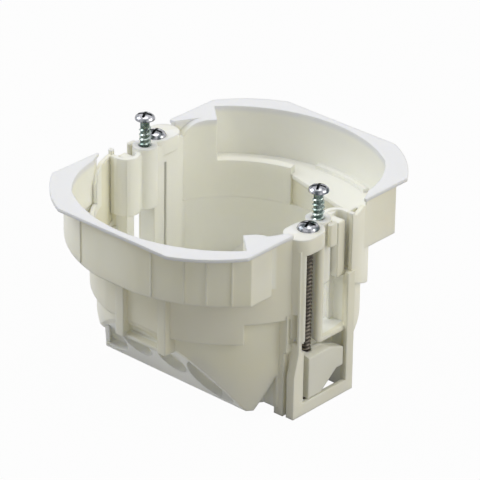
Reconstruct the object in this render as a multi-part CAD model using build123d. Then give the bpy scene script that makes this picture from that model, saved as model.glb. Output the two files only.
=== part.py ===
"""Old work box: a hollow-wall device box with two claws that swing out behind the wall board.

The origin is on the surface that the box stands on, under its centre, with +Z out of the wall.
X runs along the long axis, and the near station is the one on the -Y side. The whole object is
the same again after half a turn about Z, so one station, one pocket and one sloped end are drawn
and the other is that half turn. Lengths are millimetres. Depths are measured down from the top of
the flange, and level() turns a depth into a height.
"""
import os
from math import cos, radians, sin, tan

from build123d import *

# Flange, the thin rim that lies on the face of the wall
FLANGE_TOP = 52.0
FLANGE_LENGTH = 86.8
FLANGE_WIDTH = 67.6
FLANGE_THICK = 0.9
FLANGE_END_FLAT = 37.2
FLANGE_SIDE_FLAT = 60.6
FLANGE_CORNER = (38.2, 26.8)

# Band, the widened upper ring that holds the two crescent pockets
BAND_R = 42.6
BAND_HALF_WIDTH = 32.5
BAND_FACET_SET = 0.45
BAND_END_FACET = BAND_R - BAND_FACET_SET
BAND_RIB_ANGLES = (161.0, -164.6, -152.9, -145.3, -136.7)
BAND_RIB_WIDTH = 0.5
BAND_RIB_OUT = 0.3
BAND_WALL = 1.1
BAND_DEPTH = 15.2
POCKET_FLOOR = 1.2
POCKET_START_ANGLE = -131.8
POCKET_BEND = (-34.2, 22.9)
POCKET_BOW = (-24.6, 29.4)
POCKET_END_X = -15.5
STATION_GAP_LEFT = -20.0
STATION_GAP_RIGHT = 14.0
FLANGE_GAP_LEFT = -13.2

# Collar and cup, the round well
CUP_R = 34.2
COLLAR_STEP = 1.8
COLLAR_R = CUP_R + COLLAR_STEP
COLLAR_WALL = 1.2
COLLAR_DEPTH = 29.6
COLLAR_NOTCH_DEPTH = 24.0
COLLAR_NOTCH_START = -131.4
COLLAR_NOTCH_END = -112.0
COLLAR_SLANT = ((8.6, 21.6), (24.0, 29.6))
CUP_WALL = 1.2
CUP_DEPTH = 49.8
CUP_FLOOR = 1.3
FACET_ANGLE = -48.1
FACET_R = 31.8
FACET_TOP = (12.2, 14.6)
CORNER_X = (-21.5, -15.3)
CORNER_UP = 11.5
CORNER_R = 30.6
LINING_WALL = 1.7
LIP_DEPTH = 12.0
LIP_END_ANGLE = 13.0
INNER_PANEL_ANGLE = 65.0
INNER_PANEL_SHOULDER = 6.4
SIDE_PANEL_X = -18.4
SIDE_PANEL_TOP = 2.6
SIDE_PANEL_SHOULDER = 5.0

# Sloped ends with their cable knock-outs
END_FACE_X = 34.5
SLOPE_FOOT_X = 21.9
SLOPE_ANGLE = 57.7
SLOPE_WALL = 1.3
KNOCKOUT_DEPTH = 2.2
KNOCKOUT_SKIN = 0.8
KNOCKOUT_SLEEVE = 1.0
LARGE_KNOCKOUT_R = 7.9
LARGE_KNOCKOUT_Y = 19.2
LARGE_KNOCKOUT_UP = 9.3
SMALL_KNOCKOUT_R = 4.6
SMALL_KNOCKOUT_Y = 6.0
SMALL_KNOCKOUT_UP = 10.9
KNOCKOUT_EDGE = 0.9
END_RIB_WIDTH = 2.6
END_RIB_OUT = 1.5
END_RIB_NEAR_Y = -10.0
END_RIB_FAR_Y = 4.6
END_RIB_DEPTH = 34.0
END_LEDGE_THICK = 0.8
END_LEDGE_DEPTH = 34.2

# Shelf, the straight-fronted ledge at the floor of each pocket
SHELF_FRONT = ((33.6, 11.4), (30.8, -2.7), (26.9, -16.2))
SHELF_BAR_WIDTH = 1.6
SHELF_BAR_RISE = 1.0
SHELF_BAR_SPAN = (-19.5, 7.5)

# Clamp station: boss, channel and cage of one claw, near side
CLAMP_X = -6.0
CLAMP_Y = -32.0
CLAMP_BOSS_LENGTH = 11.2
CLAMP_BOSS_WIDTH = 8.6
CLAMP_BOSS_X = -7.9
CLAMP_BOSS_Y = -32.3
CLAMP_BOSS_CORNER = 4.0
BOSS_DEPTH = 1.4
CHANNEL_TOP_DEPTH = 5.8
CHANNEL_END_DEPTH = 30.7
CAGE_FRONT_Y = -35.6
CAGE_LEFT_X = -12.8
CAGE_RIGHT_X = 8.6
CAGE_WALL = 1.2
CAGE_BAR_HEIGHT = 3.4
CAGE_POST_WIDTH = 2.7
CAGE_FOOT_X = -14.4
CAGE_FOOT_DEPTH = (33.6, 40.0)
CAGE_STRIP_X = -10.0
CAGE_STRIP_Y = -33.2
CHANNEL_POST_X = -10.4
CHANNEL_COLUMN_X = -11.4
CHANNEL_RIGHT_X = -4.2
CHANNEL_WALL = 2.4
CHANNEL_FRONT_Y = -34.6
CHANNEL_SLANT = 4.0
BACK_WALL_Y = -28.3
BACK_WALL = 1.1
BACK_WALL_TOP = 2.7
SLIT_WIDTH = 0.8
SLIT_DEPTH = (8.0, 34.0)
SIDE_SLOT_DEPTH = (22.5, 31.0)
SIDE_SLOT_WIDTH = 1.9
SIDE_SLOT_Y = -34.0
WINDOW_TOP_DEPTH = 18.8
WINDOW_END_DEPTH = 33.0
SIDE_RIB_X = -14.7
SIDE_RIB_HIGH_Y = -33.2
SIDE_RIB_LOW_Y = -32.3
SIDE_RIB_STEP_DEPTH = 33.4

# Device boss and the open trough beside it
DEVICE_Y = -30.0
DEVICE_BOSS_R = 3.3
TROUGH_X = 5.9
TROUGH_Y = -31.2
TROUGH_R = 2.6
TROUGH_WALL = 1.2
TROUGH_DEPTH = 2.2
TROUGH_RIB = (4.0, 6.6)
TROUGH_RIB_Y = -33.4
TROUGH_RIB_DEPTH = 3.4
HOOK_X = 0.7
HOOK_Y = -34.2
HOOK_WIDTH = 2.8
HOOK_THICK = 1.4
HOOK_DEPTH = (1.9, 8.0)

# Clamp screw and claw
CLAMP_SCREW_R = 1.375
CLAMP_HEAD_R = 2.95
CLAMP_HEAD_HEIGHT = 1.5
CLAMP_TIP_DEPTH = 50.6
RUNNING_GAP = 0.06
CLAW_HUB_R = 2.5
CLAW_HEEL = 2.3
CLAW_BACK = 1.5
CLAW_REACH = 10.9
CLAW_WING_FRONT = 3.3
CLAW_WING_BACK = 0.2
CLAW_TOP_DEPTH = 35.1
CLAW_FRONT_DROP = 1.6
CLAW_SHOULDER_DEPTH = 38.4
CLAW_TIP_DEPTH = 43.6
CLAW_END_DEPTH = 48.3
CLAW_NICK = 2.4

# Device screw
DEVICE_SCREW_R = 1.6
DEVICE_HEAD_R = 2.7
DEVICE_HEAD_HEIGHT = 1.6
DEVICE_HEAD_UP = 6.1
DEVICE_SCREW_LENGTH = 20.5
DEVICE_POINT = 2.2


def level(depth):
    """Height above the standing surface of a depth under the flange top."""
    return FLANGE_TOP - depth


def prism(plan, top, bottom):
    """Solid of a plan between two depths."""
    return extrude(Plane.XY.offset(level(bottom)) * plan, bottom - top)


def rect(x0, x1, y0, y1):
    """Plan rectangle between two x and two y values."""
    return Pos((x0 + x1) / 2, (y0 + y1) / 2) * Rectangle(abs(x1 - x0), abs(y1 - y0))


def polar(radius, angle):
    """Plan point at a radius and an angle in degrees."""
    return (radius * cos(radians(angle)), radius * sin(radians(angle)))


def half_turn(shape):
    """The same shape at the opposite station."""
    return Rot(0, 0, 180) * shape


def both(shape):
    """A shape with its half-turn copy."""
    return shape + half_turn(shape)


def wedge(start, end, radius=2 * BAND_R):
    """Plan triangle from the centre that covers a span of less than half a turn."""
    return make_face(Polyline((0, 0), polar(radius, start), polar(radius, end), close=True).wire())


def flange_plan():
    """Outline of the flange: flat ends and sides joined by bowed corners."""
    end_x = FLANGE_LENGTH / 2
    end_y = FLANGE_END_FLAT / 2
    side_x = FLANGE_SIDE_FLAT / 2
    side_y = FLANGE_WIDTH / 2
    bow_x, bow_y = FLANGE_CORNER
    edges = [
        Line((-side_x, -side_y), (side_x, -side_y)),
        ThreePointArc((side_x, -side_y), (bow_x, -bow_y), (end_x, -end_y)),
        Line((end_x, -end_y), (end_x, end_y)),
        ThreePointArc((end_x, end_y), (bow_x, bow_y), (side_x, side_y)),
        Line((side_x, side_y), (-side_x, side_y)),
        ThreePointArc((-side_x, side_y), (-bow_x, bow_y), (-end_x, end_y)),
        Line((-end_x, end_y), (-end_x, -end_y)),
        ThreePointArc((-end_x, -end_y), (-bow_x, -bow_y), (-side_x, -side_y)),
    ]
    return make_face(Wire(edges))


def band_plan():
    """Outside of the band: two crescent lobes on the collar, left out at both stations."""
    lobes = Circle(BAND_R) & Rectangle(2 * BAND_END_FACET, 2 * BAND_HALF_WIDTH)
    gap = rect(STATION_GAP_LEFT, STATION_GAP_RIGHT, -BAND_R, 0)
    return Circle(COLLAR_R) + (lobes - both(gap))


def pocket_plan():
    """Left crescent pocket, from its radial step round the end to the far side."""
    radius = BAND_R - BAND_WALL
    inner = COLLAR_R - 2 * COLLAR_WALL
    side_y = BAND_HALF_WIDTH - BAND_WALL
    start = polar(radius, POCKET_START_ANGLE)
    edges = [
        Line(polar(inner, POCKET_START_ANGLE), start),
        ThreePointArc(start, (-radius, 0), POCKET_BEND),
        ThreePointArc(POCKET_BEND, POCKET_BOW, (POCKET_END_X, side_y)),
        Line((POCKET_END_X, side_y), (POCKET_END_X, 0)),
        Line((POCKET_END_X, 0), polar(inner, POCKET_START_ANGLE)),
    ]
    return make_face(Wire(edges))


def slope_hull(inset):
    """Block between the two end faces and the two slopes, moved inward by a wall."""
    foot = SLOPE_FOOT_X - inset / sin(radians(SLOPE_ANGLE))
    face = END_FACE_X - inset
    rise = (face - foot) * tan(radians(SLOPE_ANGLE))
    low = level(CUP_DEPTH)
    profile = Polyline(
        (-foot, low), (foot, low), (face, low + rise), (face, FLANGE_TOP + 1),
        (-face, FLANGE_TOP + 1), (-face, low + rise), close=True)
    return extrude(Plane.XZ * make_face(profile.wire()), BAND_R, both=True)


def slope_plane():
    """Plane on the left slope: x along -Y, y up the slope, z outward."""
    angle = radians(SLOPE_ANGLE)
    return Plane(
        origin=(-SLOPE_FOOT_X, 0, level(CUP_DEPTH)),
        x_dir=(0, -1, 0), z_dir=(-sin(angle), 0, -cos(angle)))


def flange():
    """Flange plate with the opening and the two station gaps."""
    gap = rect(FLANGE_GAP_LEFT, STATION_GAP_RIGHT, -FLANGE_WIDTH, 0)
    plan = flange_plan() - Circle(COLLAR_R - COLLAR_WALL) - both(pocket_plan()) - both(gap)
    return prism(plan, 0, FLANGE_THICK)


def band_ribs():
    """Thin upright ribs on the outside of the left lobe."""
    ribs = Part()
    for angle in BAND_RIB_ANGLES:
        inner = BAND_R - BAND_WALL / 2
        plan = Pos((inner + BAND_R + BAND_RIB_OUT) / 2, 0) * Rectangle(
            BAND_R + BAND_RIB_OUT - inner, BAND_RIB_WIDTH)
        ribs += Rot(0, 0, angle) * prism(plan, FLANGE_THICK, BAND_DEPTH - BAND_RIB_WIDTH)
    return ribs


def band():
    """Band with its pocket floors, and a relief under each wide part of the flange."""
    body = prism(band_plan(), FLANGE_THICK, BAND_DEPTH) + both(band_ribs())
    open_part = pocket_plan() & rect(-BAND_R, SIDE_PANEL_X, -BAND_R, BAND_R)
    behind = pocket_plan() - Circle(COLLAR_R)
    body -= prism(both(open_part + behind), 0, BAND_DEPTH - POCKET_FLOOR)
    inside = Circle(BAND_R - BAND_WALL) & Rectangle(2 * BAND_R, 2 * (BAND_HALF_WIDTH - BAND_WALL))
    corner = rect(-BAND_R, STATION_GAP_LEFT - BAND_WALL, -BAND_R, 0)
    relief = (inside & wedge(POCKET_START_ANGLE + 2, -100) & corner) - Circle(COLLAR_R)
    body -= both(prism(relief, FLANGE_THICK + BAND_WALL, BAND_DEPTH))
    return body - prism(Circle(COLLAR_R - COLLAR_WALL), 0, BAND_DEPTH)


def well():
    """Collar and cup in one wall, with sloped ends and a floor."""
    collar = prism(Circle(COLLAR_R), 0, COLLAR_DEPTH)
    notch = wedge(COLLAR_NOTCH_START, COLLAR_NOTCH_END) - Circle(CUP_R)
    collar -= both(prism(notch, COLLAR_NOTCH_DEPTH, COLLAR_DEPTH) + collar_slant())
    outside = (collar + prism(Circle(CUP_R), BAND_DEPTH, CUP_DEPTH)) & slope_hull(0)
    bore = prism(Circle(COLLAR_R - COLLAR_WALL), -1, COLLAR_NOTCH_DEPTH - COLLAR_WALL)
    bore += prism(Circle(CUP_R - CUP_WALL), 0, CUP_DEPTH - CUP_FLOOR)
    shell = outside - (bore & slope_hull(SLOPE_WALL))
    open_part = pocket_plan() & rect(-BAND_R, SIDE_PANEL_X, -BAND_R, BAND_R)
    return shell - prism(both(open_part), -1, LIP_DEPTH)


def collar_slant():
    """Space under the slanted lower edge of the collar, right of the near station."""
    (start_x, start), (end_x, end) = COLLAR_SLANT
    profile = Polyline(
        (start_x, level(start)), (end_x, level(end)), (start_x, level(end)), close=True)
    block = extrude(Plane.XZ * make_face(profile.wire()), BAND_R)
    return block - prism(Circle(CUP_R), 0, CUP_DEPTH)


def corner_relief():
    """Undercut of the cup beside the near cage, and the wall set back behind it."""
    left, right = CORNER_X
    profile = Polyline((left, 0), (right, CORNER_UP), (right, 0), close=True)
    block = extrude(Plane.XZ * make_face(profile.wire()), BAND_R)
    deep = prism(Circle(CORNER_R), 0, FLANGE_TOP)
    ring = Circle(CUP_R - CUP_WALL / 2) - Circle(CORNER_R - CUP_WALL)
    plan = ring & rect(left - CUP_WALL, right + CUP_WALL, -BAND_R, 0)
    fill = prism(plan, FLANGE_TOP - CORNER_UP - CUP_WALL, CUP_DEPTH)
    return block - deep, fill & slope_hull(0)


def cup_facet():
    """Flat low on the cup, right of the near station, and the wall set back behind it."""
    side_x, side_y = polar(1, FACET_ANGLE)
    plane = Plane(origin=(0, 0, 0), x_dir=(side_x, side_y, 0), z_dir=(side_y, -side_x, 0))
    low, high = FACET_TOP
    profile = Polyline((FACET_R, 0), (FACET_R, low), (CUP_R, high), (BAND_R, high), (BAND_R, 0), close=True)
    cut = extrude(plane * make_face(profile.wire()), CUP_R / 2, both=True)
    slab = Polyline(
        (FACET_R - CUP_WALL, level(CUP_DEPTH)), (FACET_R - CUP_WALL, high + CUP_WALL),
        (CUP_R, high + CUP_WALL), (CUP_R, level(CUP_DEPTH)), close=True)
    back = extrude(plane * make_face(slab.wire()), CUP_R / 2, both=True)
    inside = prism(Circle(CUP_R - CUP_WALL / 2), 0, CUP_DEPTH) & slope_hull(SLOPE_WALL / 2)
    return cut, back & inside


def side_panel_cut():
    """Space over the far left side panel, which leaves its shoulder rounded."""
    tip = SIDE_PANEL_X + SIDE_PANEL_SHOULDER
    over = level(-1)
    top = level(SIDE_PANEL_TOP)
    low = level(SIDE_PANEL_TOP + SIDE_PANEL_SHOULDER)
    turn = SIDE_PANEL_SHOULDER * (1 - cos(radians(45)))
    edges = [
        Line((SIDE_PANEL_X, over), (-CAGE_RIGHT_X, over)),
        Line((-CAGE_RIGHT_X, over), (-CAGE_RIGHT_X, top)),
        Line((-CAGE_RIGHT_X, top), (tip, top)),
        ThreePointArc((tip, top), (SIDE_PANEL_X + turn, top - turn), (SIDE_PANEL_X, low)),
        Line((SIDE_PANEL_X, low), (SIDE_PANEL_X, over)),
    ]
    block = extrude(Plane.XZ * make_face(Wire(edges)), -BAND_R)
    return block & prism(Circle(COLLAR_R), -1, BAND_DEPTH)


def lining():
    """Inner wall beside each step: a low lip, then a full-height panel with a round shoulder."""
    inner_r = COLLAR_R - COLLAR_WALL - LINING_WALL
    ring = Circle(COLLAR_R - COLLAR_WALL / 2) - Circle(inner_r)
    step = POCKET_START_ANGLE + 180
    foot = COLLAR_NOTCH_DEPTH - COLLAR_WALL
    low = prism(ring & wedge(LIP_END_ANGLE, step), LIP_DEPTH, foot)
    high = prism(ring & wedge(step, INNER_PANEL_ANGLE), 0, foot)
    corner, _ = polar(inner_r, INNER_PANEL_ANGLE)
    radius = INNER_PANEL_SHOULDER
    square = Pos(corner, FLANGE_TOP) * Rectangle(2 * radius, 2 * radius)
    arch = square - Pos(corner + radius, FLANGE_TOP - radius) * Circle(radius)
    cut = extrude(Plane.XZ * arch, -BAND_R) & prism(Circle(COLLAR_R - COLLAR_WALL), 0, BAND_DEPTH)
    return both(low + (high - cut))


def shelf():
    """Straight-fronted shelf at the right end, with a raised bar along its outer wall."""
    radius = COLLAR_R - COLLAR_WALL / 2
    outer = [polar(radius, -31.0), polar(radius, 20.0)]
    profile = Polyline(*SHELF_FRONT, outer[0], (radius, 0), outer[1], close=True)
    plate = prism(make_face(profile.wire()) & Circle(radius), BAND_DEPTH - POCKET_FLOOR, BAND_DEPTH)
    ring = Circle(BAND_R - BAND_WALL / 2) - Circle(BAND_R - BAND_WALL - SHELF_BAR_WIDTH)
    bar = ring & wedge(*SHELF_BAR_SPAN)
    top = BAND_DEPTH - POCKET_FLOOR - SHELF_BAR_RISE
    return both(plate + prism(bar, top, BAND_DEPTH - POCKET_FLOOR / 2))


def knockouts():
    """Sleeves and recesses of the four cable knock-outs on the left slope."""
    spots = [
        (LARGE_KNOCKOUT_Y, LARGE_KNOCKOUT_UP, LARGE_KNOCKOUT_R),
        (-LARGE_KNOCKOUT_Y, LARGE_KNOCKOUT_UP, LARGE_KNOCKOUT_R),
        (SMALL_KNOCKOUT_Y, SMALL_KNOCKOUT_UP, SMALL_KNOCKOUT_R),
        (-SMALL_KNOCKOUT_Y, SMALL_KNOCKOUT_UP, SMALL_KNOCKOUT_R),
    ]
    plane = slope_plane()
    sleeves = Part()
    recesses = Part()
    for across, up, radius in spots:
        spot = Pos(across, up, 0)
        sleeve = spot * extrude(Circle(radius + KNOCKOUT_SLEEVE), -(KNOCKOUT_DEPTH + KNOCKOUT_SKIN))
        recess = spot * extrude(Circle(radius), -KNOCKOUT_DEPTH)
        sleeves += plane * sleeve
        recesses += plane * recess
    inside = prism(Circle(CUP_R), 0, CUP_DEPTH)
    clear = prism(Circle(CUP_R - KNOCKOUT_EDGE), 0, CUP_DEPTH - KNOCKOUT_EDGE)
    return both(sleeves & inside), both(recesses & clear)


def end_ribs():
    """Two ribs and a thin ledge on the flat end face under the band."""
    root = END_FACE_X - SLOPE_WALL
    tip = END_FACE_X + END_RIB_OUT
    half = END_RIB_WIDTH / 2
    ribs = rect(-tip, -root, END_RIB_NEAR_Y - half, END_RIB_NEAR_Y + half)
    ribs += rect(-tip, -root, END_RIB_FAR_Y - half, END_RIB_FAR_Y + half)
    foot = END_FACE_X - (END_RIB_DEPTH - COLLAR_DEPTH) / tan(radians(SLOPE_ANGLE))
    solid = prism(ribs, BAND_DEPTH - POCKET_FLOOR, COLLAR_DEPTH)
    low = ribs + rect(-root, -foot + SLOPE_WALL, END_RIB_NEAR_Y - half, END_RIB_NEAR_Y + half)
    low += rect(-root, -foot + SLOPE_WALL, END_RIB_FAR_Y - half, END_RIB_FAR_Y + half)
    solid += prism(low, COLLAR_DEPTH, END_RIB_DEPTH)
    ledge = rect(-tip + END_LEDGE_THICK, -foot + SLOPE_WALL, END_RIB_NEAR_Y, END_RIB_FAR_Y)
    solid += prism(ledge, END_LEDGE_DEPTH - END_LEDGE_THICK, END_LEDGE_DEPTH)
    inner = prism(Circle(CUP_R - CUP_WALL), 0, CUP_DEPTH - CUP_FLOOR) & slope_hull(SLOPE_WALL)
    return both(solid - inner)


def station_space():
    """Space in front of the near back wall, open to the outside."""
    back = BACK_WALL_Y - BACK_WALL
    plan = rect(CAGE_LEFT_X + CAGE_WALL, CAGE_RIGHT_X - CAGE_WALL, -BAND_R, back)
    return prism(plan, CHANNEL_TOP_DEPTH, FLANGE_TOP)


def back_wall():
    """Wall between the claw and the wires, with its slit and its window."""
    wall = prism(
        rect(CAGE_LEFT_X, CAGE_RIGHT_X, BACK_WALL_Y - BACK_WALL, BACK_WALL_Y),
        BACK_WALL_TOP, CUP_DEPTH)
    sides = rect(CAGE_LEFT_X, CAGE_LEFT_X + CAGE_WALL, CAGE_FRONT_Y, BACK_WALL_Y)
    sides += rect(CAGE_RIGHT_X - CAGE_WALL, CAGE_RIGHT_X, CAGE_FRONT_Y, BACK_WALL_Y)
    wall += prism(sides, WINDOW_TOP_DEPTH - CAGE_WALL, CUP_DEPTH)
    wall += prism(
        rect(CAGE_LEFT_X, CAGE_LEFT_X + CAGE_WALL, CAGE_FRONT_Y, BACK_WALL_Y),
        CHANNEL_TOP_DEPTH - CAGE_WALL, WINDOW_TOP_DEPTH)
    slit = rect(CLAMP_X - SLIT_WIDTH / 2, CLAMP_X + SLIT_WIDTH / 2,
                BACK_WALL_Y - 2 * BACK_WALL, BACK_WALL_Y + BACK_WALL)
    wall -= prism(slit, *SLIT_DEPTH)
    return wall


def station_head_room():
    """Space over the bosses, and in front of the trough, where the collar is left out."""
    left = CLAMP_BOSS_X - CLAMP_BOSS_LENGTH / 2
    over = rect(left, CAGE_RIGHT_X, -BAND_R, DEVICE_Y)
    front = rect(CLAMP_X, CAGE_RIGHT_X - TROUGH_WALL, -BAND_R, TROUGH_Y)
    return prism(over, -1, BOSS_DEPTH) + prism(front, -1, WINDOW_TOP_DEPTH)


def window():
    """Opening under the device boss, right through the back wall."""
    plan = rect(CHANNEL_RIGHT_X + CHANNEL_WALL, CAGE_RIGHT_X - CAGE_POST_WIDTH,
                -BAND_R, BACK_WALL_Y + BACK_WALL)
    return prism(plan, WINDOW_TOP_DEPTH, WINDOW_END_DEPTH)


def channel():
    """Clamp boss and the two walls that guide the claw up the box."""
    boss = Pos(CLAMP_BOSS_X, CLAMP_BOSS_Y) * RectangleRounded(
        CLAMP_BOSS_LENGTH, CLAMP_BOSS_WIDTH, CLAMP_BOSS_CORNER)
    solid = prism(boss, BOSS_DEPTH, CHANNEL_TOP_DEPTH)
    left = rect(CAGE_LEFT_X, CHANNEL_POST_X, CAGE_FRONT_Y, CAGE_FRONT_Y + CAGE_WALL)
    column = boss & rect(-BAND_R, CHANNEL_COLUMN_X, -BAND_R, CLAMP_Y)
    solid += prism(column, BOSS_DEPTH, CHANNEL_END_DEPTH)
    solid += prism(left, CHANNEL_TOP_DEPTH - CAGE_WALL, CHANNEL_END_DEPTH)
    wall_x = CHANNEL_RIGHT_X + CHANNEL_WALL
    nose = CHANNEL_WALL / 2
    right = rect(CHANNEL_RIGHT_X, wall_x, CHANNEL_FRONT_Y + nose, BACK_WALL_Y)
    right += Pos(CHANNEL_RIGHT_X + nose, CHANNEL_FRONT_Y + nose) * Circle(nose)
    solid += prism(right, CHANNEL_TOP_DEPTH - CAGE_WALL, CHANNEL_END_DEPTH + CHANNEL_SLANT)
    return solid - channel_slant(wall_x)


def channel_slant(wall_x):
    """Wedge that slants the lower end of the right channel wall."""
    low = level(CHANNEL_END_DEPTH + CHANNEL_SLANT)
    profile = Polyline(
        (BACK_WALL_Y, low), (BACK_WALL_Y, low + CHANNEL_SLANT), (CAGE_FRONT_Y, low), close=True)
    face = Plane.YZ.offset(CHANNEL_RIGHT_X) * make_face(profile.wire())
    return extrude(face, wall_x - CHANNEL_RIGHT_X)


def cage():
    """Frame of the near cage: right post, bottom bar, side wall feet, side rib and ledge."""
    post_x = CAGE_RIGHT_X - CAGE_POST_WIDTH
    front = CAGE_FRONT_Y + CAGE_WALL
    post = rect(post_x, CAGE_RIGHT_X, CAGE_FRONT_Y, front)
    solid = prism(post, WINDOW_TOP_DEPTH - CAGE_WALL, FLANGE_TOP)
    bar = rect(CAGE_LEFT_X, CAGE_RIGHT_X, CAGE_FRONT_Y, front)
    solid += prism(bar, FLANGE_TOP - CAGE_BAR_HEIGHT, FLANGE_TOP)
    feet = rect(CAGE_LEFT_X, CAGE_LEFT_X + CAGE_WALL, CAGE_FRONT_Y, BACK_WALL_Y)
    feet += rect(CAGE_RIGHT_X - CAGE_WALL, CAGE_RIGHT_X, CAGE_FRONT_Y, BACK_WALL_Y)
    solid += prism(feet, CUP_DEPTH - CUP_FLOOR, FLANGE_TOP)
    foot_top, foot_end = CAGE_FOOT_DEPTH
    profile = Polyline(
        (CAGE_LEFT_X + CAGE_WALL, level(foot_top)), (CAGE_LEFT_X, level(foot_top)),
        (CAGE_FOOT_X, level(foot_end)), (CAGE_FOOT_X, 0), (CAGE_LEFT_X + CAGE_WALL, 0), close=True)
    flare = extrude(Plane.XZ.offset(-CAGE_FRONT_Y) * make_face(profile.wire()), -2 * CAGE_WALL)
    solid += flare
    strip = rect(CAGE_LEFT_X, CAGE_STRIP_X, CAGE_FRONT_Y + CAGE_WALL / 2, CAGE_STRIP_Y)
    solid += prism(strip, CLAW_TOP_DEPTH - CAGE_WALL, FLANGE_TOP)
    ledge = rect(CHANNEL_RIGHT_X + CHANNEL_WALL / 2, CAGE_RIGHT_X, CHANNEL_FRONT_Y, BACK_WALL_Y)
    solid += prism(ledge, WINDOW_END_DEPTH, WINDOW_END_DEPTH + CAGE_WALL)
    root_y = BACK_WALL_Y - BACK_WALL
    high = rect(SIDE_RIB_X, CAGE_LEFT_X, SIDE_RIB_HIGH_Y, root_y)
    solid += prism(high, COLLAR_NOTCH_DEPTH - CAGE_WALL, SIDE_RIB_STEP_DEPTH)
    low = rect(SIDE_RIB_X, CAGE_LEFT_X, SIDE_RIB_LOW_Y, root_y)
    solid += prism(low, SIDE_RIB_STEP_DEPTH, FLANGE_TOP)
    slot = rect(CAGE_LEFT_X - CAGE_WALL, CAGE_LEFT_X + CAGE_WALL + 0.2,
                SIDE_SLOT_Y - SIDE_SLOT_WIDTH / 2, SIDE_SLOT_Y + SIDE_SLOT_WIDTH / 2)
    return solid, prism(slot, *SIDE_SLOT_DEPTH)


def device_boss():
    """Round boss of the device screw with the half-round trough and the hook beside it."""
    boss = prism(Pos(0, DEVICE_Y) * Circle(DEVICE_BOSS_R), BOSS_DEPTH, WINDOW_TOP_DEPTH)
    outer_r = TROUGH_R + TROUGH_WALL
    ring = Pos(TROUGH_X, TROUGH_Y) * (Circle(outer_r) - Circle(TROUGH_R))
    back = rect(TROUGH_X - outer_r, TROUGH_X + outer_r, TROUGH_Y, 0)
    boss += prism(ring & back, TROUGH_DEPTH, WINDOW_TOP_DEPTH)
    edge = TROUGH_X + TROUGH_R
    cheek = rect(edge, edge + TROUGH_WALL, CAGE_FRONT_Y + 2 * CAGE_WALL, TROUGH_Y + TROUGH_WALL / 2)
    boss += prism(cheek, TROUGH_DEPTH, WINDOW_TOP_DEPTH)
    rib = rect(*TROUGH_RIB, TROUGH_RIB_Y, TROUGH_Y + TROUGH_R + TROUGH_WALL / 2)
    boss += prism(rib, TROUGH_RIB_DEPTH, WINDOW_TOP_DEPTH)
    hook = Pos(HOOK_X, HOOK_Y) * RectangleRounded(HOOK_WIDTH, HOOK_THICK, HOOK_THICK / 2 - 0.05)
    boss += prism(hook, *HOOK_DEPTH)
    link = rect(HOOK_X - HOOK_THICK / 2, HOOK_X + HOOK_THICK / 2, HOOK_Y, DEVICE_Y)
    boss += prism(link, HOOK_DEPTH[0] + 1, HOOK_DEPTH[1])
    roof = rect(-DEVICE_BOSS_R, CAGE_RIGHT_X, TROUGH_Y, BACK_WALL_Y)
    boss += prism(roof, WINDOW_TOP_DEPTH - CAGE_WALL, WINDOW_TOP_DEPTH)
    return boss


def station_bores():
    """Screw holes of the near station."""
    clamp = Pos(CLAMP_X, CLAMP_Y) * Circle(CLAMP_SCREW_R + RUNNING_GAP)
    device = Pos(0, DEVICE_Y) * Circle(DEVICE_SCREW_R + RUNNING_GAP)
    return prism(clamp, 0, CHANNEL_TOP_DEPTH + 1) + prism(device, 0, WINDOW_TOP_DEPTH + 1)


def box_body():
    """The whole moulding."""
    sleeves, recesses = knockouts()
    body = flange() + band() + well() + shelf() + end_ribs()
    body -= both(side_panel_cut())
    body += lining()
    body += sleeves
    body -= recesses
    for relief, backing in (corner_relief(), cup_facet()):
        body += both(backing)
        body -= both(relief)
    body -= both(station_space() + station_head_room())
    frame, slot = cage()
    station = back_wall() + channel() + frame + device_boss()
    station -= window() + slot + station_bores()
    body -= both(window())
    return body + both(station)


def clamp_screw():
    """Near clamp screw: a domed head on a long shaft."""
    shaft = Pos(CLAMP_X, CLAMP_Y) * Circle(CLAMP_SCREW_R)
    solid = prism(shaft, BOSS_DEPTH - 0.2, CLAMP_TIP_DEPTH)
    dome = (CLAMP_HEAD_R ** 2 + CLAMP_HEAD_HEIGHT ** 2) / (2 * CLAMP_HEAD_HEIGHT)
    seat = level(BOSS_DEPTH)
    ball = Pos(CLAMP_X, CLAMP_Y, seat + CLAMP_HEAD_HEIGHT - dome) * Sphere(dome)
    plan = Pos(CLAMP_X, CLAMP_Y) * Circle(CLAMP_HEAD_R)
    head = prism(plan, BOSS_DEPTH - CLAMP_HEAD_HEIGHT, BOSS_DEPTH) & ball
    return solid + head


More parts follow.
